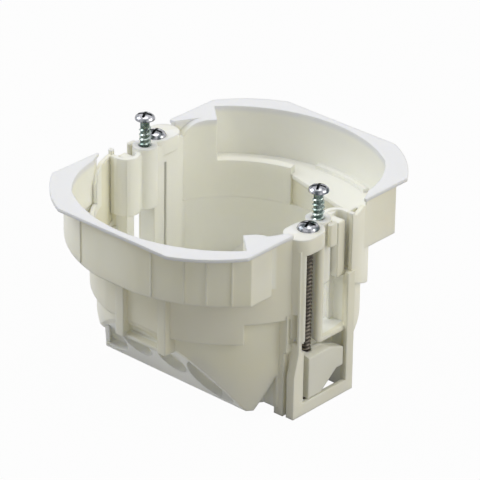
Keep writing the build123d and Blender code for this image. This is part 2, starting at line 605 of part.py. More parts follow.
def claw():
    """Near claw: a hub on the clamp screw and a wing with a slanted lower edge."""
    hub = Circle(CLAW_HUB_R) & rect(-CLAW_HUB_R, CLAW_HUB_R, -CLAW_HUB_R, CLAW_BACK)
    wing = rect(-CLAW_HEEL, CLAW_REACH, -CLAW_WING_FRONT, -CLAW_WING_BACK)
    bore = Circle(CLAMP_SCREW_R + RUNNING_GAP)
    plan = Pos(CLAMP_X, CLAMP_Y) * (hub + wing - bore)
    block = prism(plan, CLAW_TOP_DEPTH, CLAW_END_DEPTH)
    left = CLAMP_X - CLAW_HUB_R
    tip = CLAMP_X + CLAW_REACH
    profile = Polyline(
        (left, level(CLAW_TOP_DEPTH)), (CLAMP_X + CLAW_HUB_R, level(CLAW_TOP_DEPTH)),
        (tip, level(CLAW_SHOULDER_DEPTH)), (tip, level(CLAW_TIP_DEPTH)),
        (tip - CLAW_NICK, level(CLAW_TIP_DEPTH)), (CLAMP_X + CLAW_HUB_R, level(CLAW_END_DEPTH)),
        (left, level(CLAW_END_DEPTH)), close=True)
    block &= extrude(Plane.XZ * make_face(profile.wire()), BAND_R, both=True)
    front = CLAMP_Y - CLAW_WING_FRONT
    back = CLAMP_Y + CLAW_BACK
    top = level(CLAW_TOP_DEPTH)
    ramp = Polyline((front, top), (back, top), (front, top - CLAW_FRONT_DROP), close=True)
    cutter = Plane.YZ * make_face(ramp.wire())
    return block - extrude(cutter, BAND_R, both=True)


def device_screw():
    """Near device screw, half driven: a pan head, a shaft and a point."""
    seat = level(-DEVICE_HEAD_UP)
    tip = seat - DEVICE_SCREW_LENGTH
    shaft = Pos(0, 0, tip + DEVICE_POINT) * Cylinder(
        DEVICE_SCREW_R, DEVICE_SCREW_LENGTH - DEVICE_POINT, align=(Align.CENTER, Align.CENTER, Align.MIN))
    point = Pos(0, 0, tip) * Cone(
        DEVICE_SCREW_R / 3, DEVICE_SCREW_R, DEVICE_POINT, align=(Align.CENTER, Align.CENTER, Align.MIN))
    head = Pos(0, 0, seat) * Cylinder(
        DEVICE_HEAD_R, DEVICE_HEAD_HEIGHT, align=(Align.CENTER, Align.CENTER, Align.MIN))
    top = head.edges().sort_by(Axis.Z)[-1]
    head = fillet(top, DEVICE_HEAD_HEIGHT * 0.6)
    return Pos(0, DEVICE_Y) * (shaft + point + head)


def write(node, shape):
    """Save one piece as its own file."""
    export_step(shape, os.path.join("parts", node + ".step"))


def main():
    """Build every piece, near and far."""
    os.makedirs("parts", exist_ok=True)
    write("box_body", box_body())
    for node, shape in (("clamp_screw", clamp_screw()), ("claw", claw()), ("device_screw", device_screw())):
        write("near_" + node, shape)
        write("far_" + node, half_turn(shape))


main()
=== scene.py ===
"""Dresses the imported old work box: ivory moulding, swing-out claws and zinc-plated screws."""

import logging
import math
from dataclasses import dataclass
from enum import Enum

import bpy
from mathutils import Matrix, Vector


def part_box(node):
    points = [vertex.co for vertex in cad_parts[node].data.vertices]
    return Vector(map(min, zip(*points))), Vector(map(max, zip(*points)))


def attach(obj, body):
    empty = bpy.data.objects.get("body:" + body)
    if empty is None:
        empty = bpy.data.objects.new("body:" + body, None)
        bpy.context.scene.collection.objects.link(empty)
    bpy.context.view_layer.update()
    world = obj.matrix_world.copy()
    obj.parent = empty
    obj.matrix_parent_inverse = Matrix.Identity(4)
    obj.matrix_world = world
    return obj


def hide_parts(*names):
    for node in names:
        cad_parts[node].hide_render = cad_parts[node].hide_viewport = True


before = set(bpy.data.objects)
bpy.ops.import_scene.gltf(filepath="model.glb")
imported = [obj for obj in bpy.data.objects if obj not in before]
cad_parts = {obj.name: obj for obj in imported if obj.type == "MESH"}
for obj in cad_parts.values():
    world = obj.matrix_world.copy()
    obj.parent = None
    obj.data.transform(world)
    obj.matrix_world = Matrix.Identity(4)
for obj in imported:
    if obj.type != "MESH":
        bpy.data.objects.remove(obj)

LOG = logging.getLogger("work_box")

# Lengths in metres.
MM = 0.001
FLANGE_TOP = 0.052
MERGE_GAP = 1e-6
SLIVER_WIDTH = 3e-6

# Angles past which an edge stays sharp.
BODY_CREASE = math.radians(30)
SCREW_CREASE = math.radians(38)

Tree = bpy.types.NodeTree
Socket = bpy.types.NodeSocket
Material = bpy.types.Material
Piece = bpy.types.Object
Triple = tuple[float, float, float]
Rings = tuple[tuple[float, float], ...]


class Station(Enum):
    """The two stations of the box, each with its turn about the Z axis."""

    NEAR = ("near", 0.0)
    FAR = ("far", math.pi)

    def __init__(self, prefix: str, turn: float) -> None:
        """Keep the name and the turn.

        Args:
            prefix: word that starts the station's node names.
            turn: angle about Z from the near station, in radians.
        """
        self.prefix = prefix
        self.turn = turn


class Slot(Enum):
    """Names of material slots, which this script gives to no piece."""

    MOULDING = "moulding"
    SCREW = "screw"


class Finish(Enum):
    """Zinc finishes of the screws. The root, recess and dark finishes are darker for painted shade,
    and the head's dark patches are partly painted reflection.
    """

    HEAD = "head"
    RIDGE = "ridge"
    DARK_RIDGE = "dark_ridge"
    ROOT = "root"
    DARK_ROOT = "dark_root"
    RECESS = "recess"


class Effect(Enum):
    """Shader groups that the finishes share."""

    CLOUD = "cloud"
    GRAIN = "grain"
    UPPER = "upper"
    WELL = "well"


class Operation(Enum):
    """What a tool does to a piece."""

    CUT = "DIFFERENCE"
    ADD = "UNION"


def new_material(name: str) -> tuple[Material, Tree, bpy.types.Node]:
    """Start a material that has one Principled shader.

    Args:
        name: material name.

    Returns:
        The material, its node tree and its shader node.
    """
    material = bpy.data.materials.new(name)
    material.use_nodes = True
    tree = material.node_tree
    tree.nodes.clear()
    shader = tree.nodes.new("ShaderNodeBsdfPrincipled")
    output = tree.nodes.new("ShaderNodeOutputMaterial")
    tree.links.new(shader.outputs["BSDF"], output.inputs["Surface"])
    return material, tree, shader


def new_group(name: str, inputs: dict[str, float], outputs: dict[str, str]) -> Tree:
    """Start a shader node group with number inputs and an Object coordinate input.

    Args:
        name: group name.
        inputs: default value of each number input.
        outputs: socket type of each output.

    Returns:
        The group with its sockets.
    """
    group = bpy.data.node_groups.new(name, "ShaderNodeTree")
    group.interface.new_socket("Place", in_out="INPUT", socket_type="NodeSocketVector")
    for label, value in inputs.items():
        socket = group.interface.new_socket(label, in_out="INPUT", socket_type="NodeSocketFloat")
        socket.default_value = value
    for label, kind in outputs.items():
        group.interface.new_socket(label, in_out="OUTPUT", socket_type=kind)
    return group


def math_node(
    tree: Tree, operation: str, first: Socket, second: Socket | float | None = None
) -> Socket:
    """Add a Math node.

    Args:
        tree: node tree to add to.
        operation: name of the operation.
        first: output socket for the first value.
        second: output socket or number for the second value, if there is one.

    Returns:
        The node's output socket.
    """
    node = tree.nodes.new("ShaderNodeMath")
    node.operation = operation
    tree.links.new(first, node.inputs[0])
    if isinstance(second, (int, float)):
        node.inputs[1].default_value = second
    elif second is not None:
        tree.links.new(second, node.inputs[1])
    return node.outputs[0]


def noise_node(tree: Tree, place: Socket, scale: Socket | float, detail: float = 2.0) -> Socket:
    """Add a Noise texture.

    Args:
        tree: node tree to add to.
        place: output socket of the coordinates.
        scale: output socket or number for the scale.
        detail: how many finer layers it has.

    Returns:
        The node's value socket.
    """
    node = tree.nodes.new("ShaderNodeTexNoise")
    node.inputs["Detail"].default_value = detail
    tree.links.new(place, node.inputs["Vector"])
    if isinstance(scale, (int, float)):
        node.inputs["Scale"].default_value = scale
    else:
        tree.links.new(scale, node.inputs["Scale"])
    return node.outputs["Fac"]


def ramp(tree: Tree, value: Socket, low: float, high: float) -> Socket:
    """Add a smooth 0 to 1 step between two values.

    Args:
        tree: node tree to add to.
        value: output socket to read.
        low: value that gives 0.
        high: value that gives 1.

    Returns:
        The result's output socket.
    """
    node = tree.nodes.new("ShaderNodeMapRange")
    node.interpolation_type = "SMOOTHSTEP"
    node.inputs["From Min"].default_value = low
    node.inputs["From Max"].default_value = high
    tree.links.new(value, node.inputs["Value"])
    return node.outputs["Result"]


def mix_colour(
    tree: Tree, factor: Socket, first: Triple | Socket, second: Triple | Socket
) -> Socket:
    """Mix two colours.

    Args:
        tree: node tree to add to.
        factor: output socket of the mask.
        first: colour, or output socket, where the mask is 0.
        second: colour, or output socket, where the mask is 1.

    Returns:
        The mixed colour's output socket.
    """
    node = tree.nodes.new("ShaderNodeMix")
    node.data_type = "RGBA"
    tree.links.new(factor, node.inputs["Factor"])
    for label, value in (("A", first), ("B", second)):
        socket = next(s for s in node.inputs if s.name == label and s.type == "RGBA")
        if isinstance(value, tuple):
            socket.default_value = (*value, 1.0)
        else:
            tree.links.new(value, socket)
    return next(s for s in node.outputs if s.type == "RGBA")


def group_ends(group: Tree) -> tuple[bpy.types.Node, bpy.types.Node]:
    """Give a group its input and output nodes.

    Args:
        group: group to finish.

    Returns:
        The group's input node and output node.
    """
    return group.nodes.new("NodeGroupInput"), group.nodes.new("NodeGroupOutput")


def cloud_group(low: float = 0.35, high: float = 0.65) -> Tree:
    """Soft uneven tone, as in plastic that cooled unevenly or in a plated skin.

    Args:
        low: noise that gives 0.
        high: noise that gives 1.

    Returns:
        Group with a Mask output from 0 to 1.
    """
    group = new_group("uneven_tone", {"Scale": 60.0}, {"Mask": "NodeSocketFloat"})
    start, end = group_ends(group)
    broad = noise_node(group, start.outputs["Place"], start.outputs["Scale"])
    group.links.new(ramp(group, broad, low, high), end.inputs["Mask"])
    return group


def grain_group(flow_scale: float = 190.0) -> Tree:
    """Fine moulded grain with faint flow marks.

    Args:
        flow_scale: noise scale of the flow marks.

    Returns:
        Group with a Height output for a Bump node.
    """
    inputs = {"Scale": 2600.0, "Flow": 0.3}
    group = new_group("moulded_grain", inputs, {"Height": "NodeSocketFloat"})
    start, end = group_ends(group)
    fine = noise_node(group, start.outputs["Place"], start.outputs["Scale"])
    flow = noise_node(group, start.outputs["Place"], flow_scale)
    flow = math_node(group, "MULTIPLY", flow, start.outputs["Flow"])
    group.links.new(math_node(group, "ADD", fine, flow), end.inputs["Height"])
    return group


def height_group(none: float = 1.0, full: float = 0.2) -> Tree:
    """Mask that rises from 0 to 1 towards a height; the moulding uses it to place its painted top
    light.

    Args:
        none: share of the depth below the height at which the mask is 0.
        full: share of the depth below the height at which the mask is 1.

    Returns:
        Group with a Mask output from 0 to 1.
    """
    inputs = {"Height": FLANGE_TOP, "Depth": 0.0023}
    group = new_group("upper_face", inputs, {"Mask": "NodeSocketFloat"})
    start, end = group_ends(group)
    split = group.nodes.new("ShaderNodeSeparateXYZ")
    group.links.new(start.outputs["Place"], split.inputs[0])
    below = math_node(group, "SUBTRACT", start.outputs["Height"], split.outputs["Z"])
    share = math_node(group, "DIVIDE", below, start.outputs["Depth"])
    group.links.new(ramp(group, share, none, full), end.inputs["Mask"])
    return group


def well_group() -> Tree:
    """Mask of the surfaces inside the well and inside the two pockets beside it, where the moulding
    gets painted light.

    Returns:
        Group with a Mask output from 0 to 1.
    """
    inputs = {
        "Radius": 0.0336,
        "Blend": 0.0005,
        "Pocket Radius": 0.042,
        "Pocket Side": 0.0318,
        "Pocket Start": 0.014,
        "Pocket Floor": 0.0374,
    }
    group = new_group("painted_well_light_mask", inputs, {"Mask": "NodeSocketFloat"})
    start, end = group_ends(group)
    flat = group.nodes.new("ShaderNodeVectorMath")
    flat.operation = "MULTIPLY"
    flat.inputs[1].default_value = (1, 1, 0)
    group.links.new(start.outputs["Place"], flat.inputs[0])
    length = group.nodes.new("ShaderNodeVectorMath")
    length.operation = "LENGTH"
    group.links.new(flat.outputs["Vector"], length.inputs[0])
    split = group.nodes.new("ShaderNodeSeparateXYZ")
    group.links.new(start.outputs["Place"], split.inputs[0])
    along = math_node(group, "ABSOLUTE", split.outputs["X"], 0.0)
    across = math_node(group, "ABSOLUTE", split.outputs["Y"], 0.0)
    pocket = math_node(group, "SUBTRACT", start.outputs["Pocket Radius"], length.outputs["Value"])
    for bound in (
        math_node(group, "SUBTRACT", start.outputs["Pocket Side"], across),
        math_node(group, "SUBTRACT", along, start.outputs["Pocket Start"]),
        math_node(group, "SUBTRACT", split.outputs["Z"], start.outputs["Pocket Floor"]),
    ):
        pocket = math_node(group, "MINIMUM", pocket, bound)
    inside = math_node(group, "SUBTRACT", start.outputs["Radius"], length.outputs["Value"])
    inside = math_node(group, "MAXIMUM", inside, pocket)
    share = math_node(group, "DIVIDE", inside, start.outputs["Blend"])
    group.links.new(ramp(group, share, 0.0, 1.0), end.inputs["Mask"])
    return group


def use_group(tree: Tree, group: Tree, place: Socket, **values: float) -> Socket:
    """Place a group in a material.

    Args:
        tree: the material's node tree.
        group: group to place.
        place: output socket of the Object coordinates.
        values: numbers for the group's inputs.

    Returns:
        The group's first output socket.
    """
    node = tree.nodes.new("ShaderNodeGroup")
    node.node_tree = group
    tree.links.new(place, node.inputs["Place"])
    for label, value in values.items():
        node.inputs[label].default_value = value
    return node.outputs[0]


@dataclass(frozen=True)
class Moulding:
    """Injection-moulded ivory plastic, with painted light: a whiter top face and a lighter inside
    of the well and pockets.
    """

    name: str
    colour: Triple = (0.88, 0.86, 0.74)
    shade: Triple = (0.86, 0.835, 0.70)
    # Painted light: a lighter, less yellow tone inside the well and pockets, for light passing
    # through the walls and bouncing inside.
    painted_well_light: Triple = (0.93, 0.925, 0.855)
    # Painted light: the whiter, cooler tint of the top face, standing in for light and reflection
    # falling on it.
    upper: Triple = (0.81, 0.815, 0.84)
    cloud_scale: float = 45.0
    roughness: float = 0.33
    smoother: float = 0.05
    rougher: float = 0.06
    grain: float = 0.05
    grain_height: float = 0.0002
    soft_edge: float = 0.00055
    edge_samples: int = 6
    refraction: float = 1.49
    light_through: float = 0.4
    light_reach: Triple = (1.0, 0.95, 0.7)
    light_depth: float = 0.0022

    def build(self, groups: dict[Effect, Tree]) -> Material:
        """Make the material.

        Args:
            groups: shared shader groups by name.

        Returns:
            The finished material.
        """
        material, tree, shader = new_material(self.name)
        place = tree.nodes.new("ShaderNodeTexCoord").outputs["Object"]
        cloud = use_group(tree, groups[Effect.CLOUD], place, Scale=self.cloud_scale)
        tone = mix_colour(tree, cloud, self.colour, self.shade)
        # Painted light: lighten the inside of the well and pockets.
        tone = mix_colour(tree, use_group(tree, groups[Effect.WELL], place), tone, self.painted_well_light)
        # Painted light: whiten the top face.
        tone = mix_colour(tree, use_group(tree, groups[Effect.UPPER], place), tone, self.upper)
        tree.links.new(tone, shader.inputs["Base Color"])
        rough = tree.nodes.new("ShaderNodeMapRange")
        rough.inputs["To Min"].default_value = self.roughness - self.smoother
        rough.inputs["To Max"].default_value = self.roughness + self.rougher
        tree.links.new(cloud, rough.inputs["Value"])
        tree.links.new(rough.outputs["Result"], shader.inputs["Roughness"])
        height = use_group(tree, groups[Effect.GRAIN], place)
        bevel = tree.nodes.new("ShaderNodeBevel")
        bevel.samples = self.edge_samples
        bevel.inputs["Radius"].default_value = self.soft_edge
        bump = tree.nodes.new("ShaderNodeBump")
        bump.inputs["Strength"].default_value = self.grain
        bump.inputs["Distance"].default_value = self.grain_height
        tree.links.new(height, bump.inputs["Height"])
        tree.links.new(bevel.outputs["Normal"], bump.inputs["Normal"])
        tree.links.new(bump.outputs["Normal"], shader.inputs["Normal"])
        shader.inputs["IOR"].default_value = self.refraction
        shader.inputs["Subsurface Weight"].default_value = self.light_through
        shader.inputs["Subsurface Radius"].default_value = self.light_reach
        shader.inputs["Subsurface Scale"].default_value = self.light_depth
        return material


@dataclass(frozen=True)
class ZincPlate:
    """Zinc plate with darker patches of uneven plating; on the heads they also stand in for dark
    reflections, as painted reflection.
    """

    name: str
    # The head's colours: the very dark cast makes uneven plating and painted reflection at once.
    colour: Triple = (0.52, 0.52, 0.56)
    cast: Triple = (0.07, 0.085, 0.095)
    roughness: float = 0.16
    patch_scale: float = 520.0
    smoother: float = 0.06
    rougher: float = 0.1
    grain: float = 0.06
    grain_scale: float = 5200.0
    grain_flow: float = 0.6
    grain_height: float = 0.0001

    def build(self, groups: dict[Effect, Tree]) -> Material:
        """Make the material.

        Args:
            groups: shared shader groups by name.

        Returns:
            The finished material.
        """
        material, tree, shader = new_material(self.name)
        place = tree.nodes.new("ShaderNodeTexCoord").outputs["Object"]
        cloud = use_group(tree, groups[Effect.CLOUD], place, Scale=self.patch_scale)
        tree.links.new(mix_colour(tree, cloud, self.colour, self.cast), shader.inputs["Base Color"])
        rough = tree.nodes.new("ShaderNodeMapRange")
        rough.inputs["To Min"].default_value = self.roughness - self.smoother
        rough.inputs["To Max"].default_value = self.roughness + self.rougher
        tree.links.new(cloud, rough.inputs["Value"])
        tree.links.new(rough.outputs["Result"], shader.inputs["Roughness"])
        height = use_group(
            tree, groups[Effect.GRAIN], place, Scale=self.grain_scale, Flow=self.grain_flow)
        bump = tree.nodes.new("ShaderNodeBump")
        bump.inputs["Strength"].default_value = self.grain
        bump.inputs["Distance"].default_value = self.grain_height
        tree.links.new(height, bump.inputs["Height"])
        tree.links.new(bump.outputs["Normal"], shader.inputs["Normal"])
        shader.inputs["Metallic"].default_value = 1.0
        return material


def deselect() -> None:
    """Leave edit mode and clear the selection."""
    if bpy.context.object and bpy.context.object.mode != "OBJECT":
        bpy.ops.object.mode_set(mode="OBJECT")
    bpy.ops.object.select_all(action="DESELECT")


def activate(piece: Piece) -> None:
    """Select one piece alone and make it active.

    Args:
        piece: object to work on.
    """
    deselect()
    piece.select_set(True)
    bpy.context.view_layer.objects.active = piece


def settle(piece: Piece) -> Piece:
    """Move a piece's place, turn and size into its mesh.

    Args:
        piece: object to settle.

    Returns:
        The same piece, at the origin.
    """
    activate(piece)
    bpy.ops.object.transform_apply(location=True, rotation=True, scale=True)
    return piece


def apply_modifier(piece: Piece, kind: str, **settings: object) -> None:
    """Add a modifier and apply it.

    Args:
        piece: object to change.
        kind: modifier type.
        settings: the modifier's values.
    """
    activate(piece)
    modifier = piece.modifiers.new(kind.lower(), kind)
    for label, value in settings.items():
        setattr(modifier, label, value)
    bpy.ops.object.modifier_apply(modifier=modifier.name)


def join(pieces: list[Piece], name: str) -> Piece:
    """Join pieces into one object.

    Args:
        pieces: objects to join.
        name: name of the result.

    Returns:
        The joined object.
    """
    deselect()
    for piece in pieces:
        piece.select_set(True)
    bpy.context.view_layer.objects.active = pieces[0]
    bpy.ops.object.join()
    pieces[0].name = name
    return pieces[0]


def shape_with(piece: Piece, tool: Piece, operation: Operation) -> None:
    """Cut a piece with a tool, or add the tool to it, and delete the tool.

    Args:
        piece: object to change.
        tool: object that cuts or is added.
        operation: whether it cuts or is added.
    """
    apply_modifier(
        piece, "BOOLEAN", operation=operation.value, solver="EXACT",
        material_mode="TRANSFER", object=tool)
    bpy.data.objects.remove(tool)


def outward(piece: Piece) -> None:
    """Merge doubles and point the faces outwards.

    Args:
        piece: object to mend.
    """
    activate(piece)
    bpy.ops.object.mode_set(mode="EDIT")
    bpy.ops.mesh.select_all(action="SELECT")
    bpy.ops.mesh.remove_doubles(threshold=MERGE_GAP)
    bpy.ops.mesh.normals_make_consistent(inside=False)
    bpy.ops.object.mode_set(mode="OBJECT")


def weld_slivers(piece: Piece) -> None:
    """Close the hair-thin faces that cutting a piece leaves.

    Args:
        piece: object to mend.
    """
    activate(piece)
    bpy.ops.object.mode_set(mode="EDIT")
    bpy.ops.mesh.select_all(action="SELECT")
    bpy.ops.mesh.remove_doubles(threshold=SLIVER_WIDTH)
    bpy.ops.mesh.dissolve_degenerate(threshold=MERGE_GAP)
    bpy.ops.mesh.delete_loose()
    bpy.ops.object.mode_set(mode="OBJECT")


def lathe(name: str, outline: Rings, sides: int) -> Piece:
    """Turn a round piece from its radius at each height, by extruding and sizing a disc's rim.

    Args:
        name: object name.
        outline: radius and height of each ring, from the bottom up, in millimetres.
        sides: number of sides.

    Returns:
        The closed round piece on the Z axis.
    """
    radius, height = outline[0]
    deselect()
    bpy.ops.mesh.primitive_circle_add(
        vertices=sides, radius=radius * MM, fill_type="NGON", location=(0, 0, height * MM))
    piece = bpy.context.object
    piece.name = name
    settle(piece)
    bpy.ops.object.mode_set(mode="EDIT")
    bpy.ops.mesh.select_all(action="SELECT")
    for (old_radius, old_height), (new_radius, new_height) in zip(outline, outline[1:]):
        bpy.ops.mesh.extrude_region_move(
            TRANSFORM_OT_translate={"value": (0, 0, (new_height - old_height) * MM)})
        factor = new_radius / old_radius
        bpy.ops.transform.resize(
            value=(factor, factor, 1), center_override=(0, 0, new_height * MM))
    bpy.ops.object.mode_set(mode="OBJECT")
    outward(piece)
    return piece


@dataclass
class Thread:
    """A helical ridge, in millimetres."""

    core: float
    crest: float
    pitch: float
    bottom: float
    turns: int
    steps: int
    sink: float = 0.35
    half_width: float = 0.3
    fade_reach: float = 0.6

    def build(self, name: str) -> Piece:
        """Wind the ridge about the Z axis.

        Args:
            name: object name.

        Returns:
            The ridge as a closed mesh that fades into the shaft at both ends.
        """
        rise = self.crest - self.core
        root = self.core - self.sink * rise
        deselect()
        bpy.ops.mesh.primitive_circle_add(
            vertices=3, radius=MM, location=(0, 0, 0), rotation=(math.pi / 2, 0, 0))
        ridge = bpy.context.object
        ridge.name = name
        settle(ridge)
        half = self.half_width * self.pitch
        places = [(self.crest, 0.0), (root, half), (root, -half)]
        for vertex, (radius, height) in zip(ridge.data.vertices, places):
            vertex.co = (radius * MM, 0.0, (self.bottom + height) * MM)
        apply_modifier(
            ridge, "SCREW", axis="Z", angle=2 * math.pi, screw_offset=self.pitch * MM,
            steps=self.steps, render_steps=self.steps, iterations=self.turns)
        self.fade(ridge, root)
        activate(ridge)
        bpy.ops.object.mode_set(mode="EDIT")
        bpy.ops.mesh.select_all(action="DESELECT")
        bpy.ops.mesh.select_non_manifold(
            extend=False, use_wire=False, use_boundary=True, use_multi_face=False,
            use_non_contiguous=False, use_verts=False)
        bpy.ops.mesh.fill()
        bpy.ops.object.mode_set(mode="OBJECT")
        outward(ridge)
        return ridge

    def fade(self, ridge: Piece, root: float) -> None:
        """Sink the crest to the root over a short reach at both ends.

        Args:
            ridge: wound ridge.
            root: radius of the ridge's foot, in millimetres.
        """
        length = self.turns * self.pitch
        reach = self.fade_reach * self.pitch
        for vertex in ridge.data.vertices:
            radius = math.hypot(vertex.co.x, vertex.co.y) / MM
            along = vertex.co.z / MM - self.bottom
            share = max(0.0, min(1.0, along / reach, (length - along) / reach))
            wanted = root + (radius - root) * share
            vertex.co.x *= wanted / radius
            vertex.co.y *= wanted / radius


@dataclass
class CrossRecess:
    """A driver recess with four tapered wings, in millimetres."""

    reach: float
    depth: float
    width: float
    above: float = 0.2
    tip_reach: float = 0.42
    tip_width: float = 0.7

    def cut(self, head: Piece, top: float, turn: float, inside: Material) -> None:
        """Cut the recess into a head on the Z axis.

        Args:
            head: head to cut.
            top: height of the head's top, in millimetres.
            turn: angle of the wings, in radians.
            inside: finish of the recess.
        """
        middle = self.above / 2 * MM - self.depth / 2 * MM
        for quarter in range(2):
            deselect()
            bpy.ops.mesh.primitive_cube_add(size=1, location=(0, 0, middle))
            wing = bpy.context.object
            wing.name = "recess_cutter"
            wing.scale = (2 * self.reach * MM, self.width * MM, (self.above + self.depth) * MM)
            settle(wing)
            # The cut faces take the recess finish, darker for painted shade in the recess.
            wing.data.materials.append(inside)
            for vertex in wing.data.vertices:
                if vertex.co.z < 0:
                    vertex.co.x *= self.tip_reach
                    vertex.co.y *= self.tip_width
            spin = Matrix.Rotation(turn + quarter * math.pi / 2, 4, "Z")
            wing.data.transform(Matrix.Translation((0, 0, top * MM)) @ spin)
            shape_with(head, wing, Operation.CUT)


@dataclass
class Screw:
    """One plated screw: a cross-recessed head on a threaded shaft, in millimetres."""

    node: str
    centre: tuple[float, float]
    head: Rings
    shaft: Rings
    thread: Thread
    recess: CrossRecess
    recess_turn: float
    ridge_finish: Finish
    shaft_finish: Finish
    head_sides: int = 64
    shaft_sides: int = 40

    def build(self, station: Station, finishes: dict[Finish, Material]) -> Piece:
        """Make the screw at one station.

        Args:
            station: where it stands.
            finishes: finish of the head, the root and each kind of ridge, by name.

        Returns:
            The finished screw.
        """
        head = lathe("head", self.head, self.head_sides)
        head.data.materials.append(finishes[Finish.HEAD])
        top = self.head[-1][1]
        # Painted shade: the recess finish is darker than the head.
        self.recess.cut(head, top, self.recess_turn, finishes[Finish.RECESS])
        shaft = lathe("shaft", self.shaft, self.shaft_sides)
        shaft.data.materials.append(finishes[self.shaft_finish])
        ridge = self.thread.build("ridge")
        ridge.data.materials.append(finishes[self.ridge_finish])
        screw = join([head, shaft, ridge], f"{station.prefix}_{self.node}_dressed")
        place = Matrix.Translation((self.centre[0] * MM, self.centre[1] * MM, 0))
        screw.data.transform(Matrix.Rotation(station.turn, 4, "Z") @ place)
        activate(screw)
        bpy.ops.object.shade_smooth_by_angle(angle=SCREW_CREASE)
        return screw


@dataclass
class Hardware:
    """The four screws of the box, in millimetres.

    Each ring of a head is a radius and a height over the head's seat.
    """

    crown_radius: float = 0.2
    clamp_centre: tuple[float, float] = (-6.0, -32.0)
    clamp_top: float = 52.1
    clamp_tip: float = 1.4
    clamp_radius: float = 1.375
    clamp_thread_depth: float = 0.3
    clamp_head_height: float = 1.5
    clamp_head_rings: Rings = (
        (0.4, -0.1), (2.9, -0.1), (2.94, 0.05), (2.8, 0.42),
        (2.5, 0.82), (2.05, 1.14), (1.4, 1.36), (0.7, 1.47),
    )
    clamp_point_radius: float = 0.4
    clamp_point_height: float = 0.5
    clamp_pitch: float = 1.06
    clamp_thread_start: float = 0.7
    clamp_turns: int = 44
    clamp_steps: int = 24
    device_centre: tuple[float, float] = (0.0, -30.0)
    device_radius: float = 1.6
    device_thread_depth: float = 0.36
    device_head_height: float = 1.7
    device_head_rings: Rings = (
        (0.4, 0.0), (2.4, 0.0), (2.66, 0.16), (2.68, 0.42),
        (2.5, 0.85), (2.05, 1.25), (1.4, 1.52), (0.7, 1.66),
    )
    device_point_radius: float = 0.2
    device_point_lift: float = 0.05
    device_point_height: float = 2.2
    device_shaft_overlap: float = 0.2
    device_pitch: float = 1.35
    device_thread_start: float = 1.4
    device_turns: int = 13
    device_steps: int = 32

    def crowned(self, rings: Rings, seat: float, top: float) -> Rings:
        """Set a head's rings on its seat and end them at its top.

        Args:
            rings: radius and height over the seat of each ring.
            seat: height of the seat.
            top: height of the head's top.

        Returns:
            The rings with their heights in the frame.
        """
        placed = tuple((radius, seat + height) for radius, height in rings)
        return placed + ((self.crown_radius, top),)

    def clamp(self) -> Screw:
        """Sizes of the clamp screw."""
        seat = self.clamp_top - self.clamp_head_height
        core = self.clamp_radius - self.clamp_thread_depth
        return Screw(
            node="clamp_screw",
            centre=self.clamp_centre,
            head=self.crowned(self.clamp_head_rings, seat, self.clamp_top),
            shaft=(
                (self.clamp_point_radius, self.clamp_tip),
                (core, self.clamp_tip + self.clamp_point_height),
                (core, seat),
            ),
            thread=Thread(
                core=core, crest=self.clamp_radius, pitch=self.clamp_pitch,
                bottom=self.clamp_tip + self.clamp_thread_start,
                turns=self.clamp_turns, steps=self.clamp_steps),
            recess=CrossRecess(reach=2.55, depth=1.3, width=0.8),
            recess_turn=0.35,
            # Both clamp finishes are darker for painted shade of the channel the screw sits in.
            ridge_finish=Finish.DARK_RIDGE,
            shaft_finish=Finish.DARK_ROOT,
        )

    def device(self) -> Screw:
        """Sizes of the device screw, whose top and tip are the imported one's."""
        low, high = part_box("near_device_screw")
        top = high.z / MM
        tip = low.z / MM
        seat = top - self.device_head_height
        core = self.device_radius - self.device_thread_depth
        return Screw(
            node="device_screw",
            centre=self.device_centre,
            head=self.crowned(self.device_head_rings, seat, top),
            shaft=(
                (self.device_point_radius, tip + self.device_point_lift),
                (core, tip + self.device_point_height),
                (core, seat + self.device_shaft_overlap),
            ),
            thread=Thread(
                core=core, crest=self.device_radius, pitch=self.device_pitch,
                bottom=tip + self.device_thread_start,
                turns=self.device_turns, steps=self.device_steps),
            recess=CrossRecess(reach=2.4, depth=1.5, width=0.78),
            recess_turn=0.5,
            ridge_finish=Finish.RIDGE,
            # Painted shade: the root finish is darker, for the shade in the thread's grooves.
            shaft_finish=Finish.ROOT,
        )

    def build(self, finishes: dict[Finish, Material]) -> None:
        """Make and place every screw.

        Args:
            finishes: the screws' finishes by name.
        """
        for kind in (self.clamp(), self.device()):
            for station in Station:
                node = f"{station.prefix}_{kind.node}"
                screw = kind.build(station, finishes)
                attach(screw, node)
                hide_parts(node)
                LOG.info("%s: %d faces", screw.name, len(screw.data.polygons))


